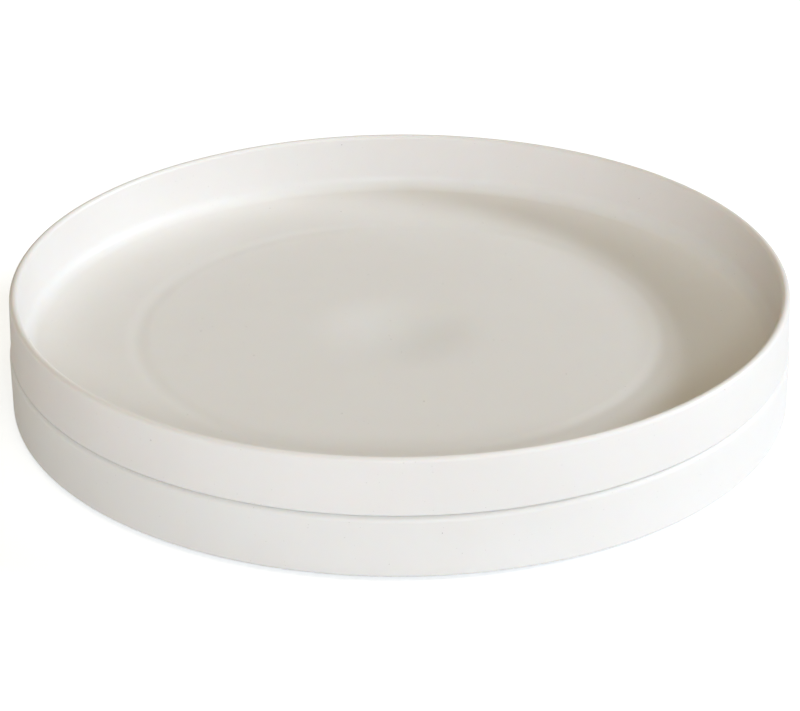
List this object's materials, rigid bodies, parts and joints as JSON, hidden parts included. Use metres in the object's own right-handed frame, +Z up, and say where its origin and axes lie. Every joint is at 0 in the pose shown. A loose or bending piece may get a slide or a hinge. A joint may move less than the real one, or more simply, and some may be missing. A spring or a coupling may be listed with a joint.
{
  "type": "lazy susan turntable",
  "caption": "Round two-part lazy susan: a shallow tray with raised sides turns on a matching drum base on a hidden ball race.",
  "frame": {"origin": "centre of the turning axis on the resting surface, under the feet", "axes": "+Z up along the turning axis; +X through the first foot, and the object has no front"},
  "size_m": [0.3588, 0.3588, 0.0557],
  "materials": {
    "speckled_shell": "satin moulded melamine, warm off-white with fine dark specks",
    "plated_steel": "pressed sheet, bright zinc plated",
    "screw_steel": "zinc plated, turned and rolled",
    "ball_steel": "polished bearing steel, lightly greased",
    "nylon": "natural nylon, moulded",
    "bush_plastic": "dark acetal, moulded",
    "brass": "turned",
    "cap_plastic": "fine matte moulding",
    "foot_rubber": "matte moulded rubber"
  },
  "bodies": {
    "base": {"base_shell": "speckled_shell", "lower_race": "plated_steel", "lower_race_screws": "screw_steel", "hub_bush": "bush_plastic", "pivot_cap": "cap_plastic", "foot_1": "foot_rubber", "foot_2": "foot_rubber", "foot_3": "foot_rubber", "foot_4": "foot_rubber", "foot_5": "foot_rubber", "foot_6": "foot_rubber"},
    "turntable": {"tray": "speckled_shell", "upper_race": "plated_steel", "upper_race_screws": "screw_steel", "pivot_screw": "screw_steel", "thread_insert": "brass", "thrust_washer": "plated_steel"},
    "cage": {"ball_cage": "nylon", "ball_01": "ball_steel", "ball_02": "ball_steel", "ball_03": "ball_steel", "ball_04": "ball_steel", "ball_05": "ball_steel", "ball_06": "ball_steel", "ball_07": "ball_steel", "ball_08": "ball_steel", "ball_09": "ball_steel", "ball_10": "ball_steel", "ball_11": "ball_steel", "ball_12": "ball_steel", "ball_13": "ball_steel", "ball_14": "ball_steel", "ball_15": "ball_steel", "ball_16": "ball_steel", "ball_17": "ball_steel", "ball_18": "ball_steel", "ball_19": "ball_steel", "ball_20": "ball_steel", "ball_21": "ball_steel", "ball_22": "ball_steel", "ball_23": "ball_steel", "ball_24": "ball_steel"}
  },
  "joints": [
    {"name": "turntable_spin", "type": "hinge", "parent": "base", "child": "turntable", "pos_m": [0, 0, 0.0151], "axis": [0, 0, 1], "continuous": true},
    {"name": "cage_spin", "type": "hinge", "parent": "base", "child": "cage", "pos_m": [0, 0, 0.0151], "axis": [0, 0, 1], "continuous": true}
  ],
  "couplings": [
    {"joint": "cage_spin", "follows": "turntable_spin", "ratio": 0.5}
  ]
}
